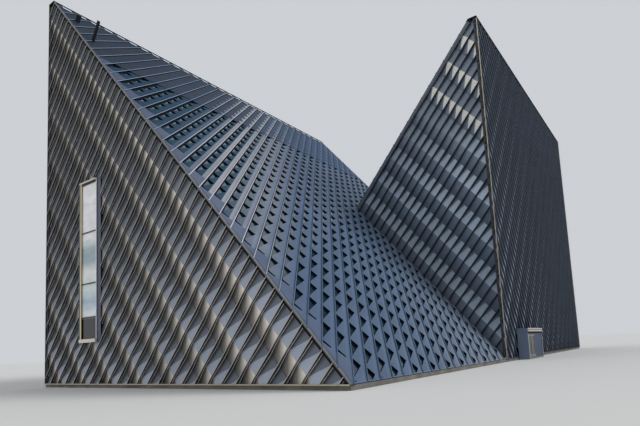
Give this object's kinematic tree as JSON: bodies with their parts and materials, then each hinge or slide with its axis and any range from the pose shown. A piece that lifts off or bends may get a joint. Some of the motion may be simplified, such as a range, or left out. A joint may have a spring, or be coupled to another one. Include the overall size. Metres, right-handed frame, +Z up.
{
  "type": "modern church building, 1:2 scale model",
  "caption": "Church of interlocking wedge halls on a slanted plan: dark upright metal walls, glazed scaled slopes, tall end windows and an entrance box with swinging glazed doors.",
  "frame": {"origin": "middle of the slanted plan, on the ground, on the underside of the floor slab", "axes": "+X runs along the long side from the front end wall to the far end wall, +Y points from the entrance side to the back, +Z is up"},
  "size_m": [38.5488, 12.923, 12.8],
  "materials": {
    "dark_cladding": "satin",
    "pale_cladding": "satin",
    "light_trim": "satin",
    "black_metal": "satin",
    "porch_panel": "matt",
    "concrete": "rough",
    "glass": "clear"
  },
  "bodies": {
    "building": {"front_wall": "dark_cladding", "far_wall": "dark_cladding", "front_window_frame": "black_metal", "far_window_frame": "black_metal", "front_window_glass": "glass", "far_window_glass": "glass", "front_window_sill": "light_trim", "far_window_sill": "light_trim", "front_window_lintel": "light_trim", "far_window_lintel": "light_trim", "front_slope_glazing": "pale_cladding", "rear_slope_glazing": "pale_cladding", "front_valley_glazing": "pale_cladding", "rear_valley_glazing": "pale_cladding", "front_slope_roof": "pale_cladding", "rear_slope_roof": "pale_cladding", "tower_gable": "dark_cladding", "hall_gable": "dark_cladding", "side_wall_near": "dark_cladding", "side_wall_far": "dark_cladding", "side_wall_over_door": "dark_cladding", "back_wall": "dark_cladding", "front_ridge": "black_metal", "tower_ridge": "black_metal", "valley_gutter": "black_metal", "front_plinth": "concrete", "far_plinth": "concrete", "front_kerb": "concrete", "rear_kerb": "concrete", "side_plinth_near": "concrete", "side_plinth_far": "concrete", "back_plinth": "concrete", "floor_slab": "concrete", "porch_wall_near": "porch_panel", "porch_wall_far": "porch_panel", "porch_roof": "porch_panel", "porch_fascia_upper": "light_trim", "porch_fascia_lower": "light_trim", "threshold": "concrete", "doorway_sill": "concrete", "door_frame": "light_trim", "side_panel": "porch_panel", "roof_vent": "black_metal", "roof_post": "black_metal"},
    "near_door": {"door_leaf_near": "light_trim", "door_glass_near": "glass", "door_pivot_near": "light_trim"},
    "far_door": {"door_leaf_far": "light_trim", "door_glass_far": "glass", "door_pivot_far": "light_trim"}
  },
  "joints": [
    {"name": "near_door_hinge", "type": "hinge", "parent": "building", "child": "near_door", "pos_m": [-3.63663, -6.60396, 0.49], "axis": [0, 0, -1], "range_deg": [0, 90]},
    {"name": "far_door_hinge", "type": "hinge", "parent": "building", "child": "far_door", "pos_m": [-2.32003, -6.60396, 0.49], "axis": [0, 0, 1], "range_deg": [0, 90]}
  ]
}
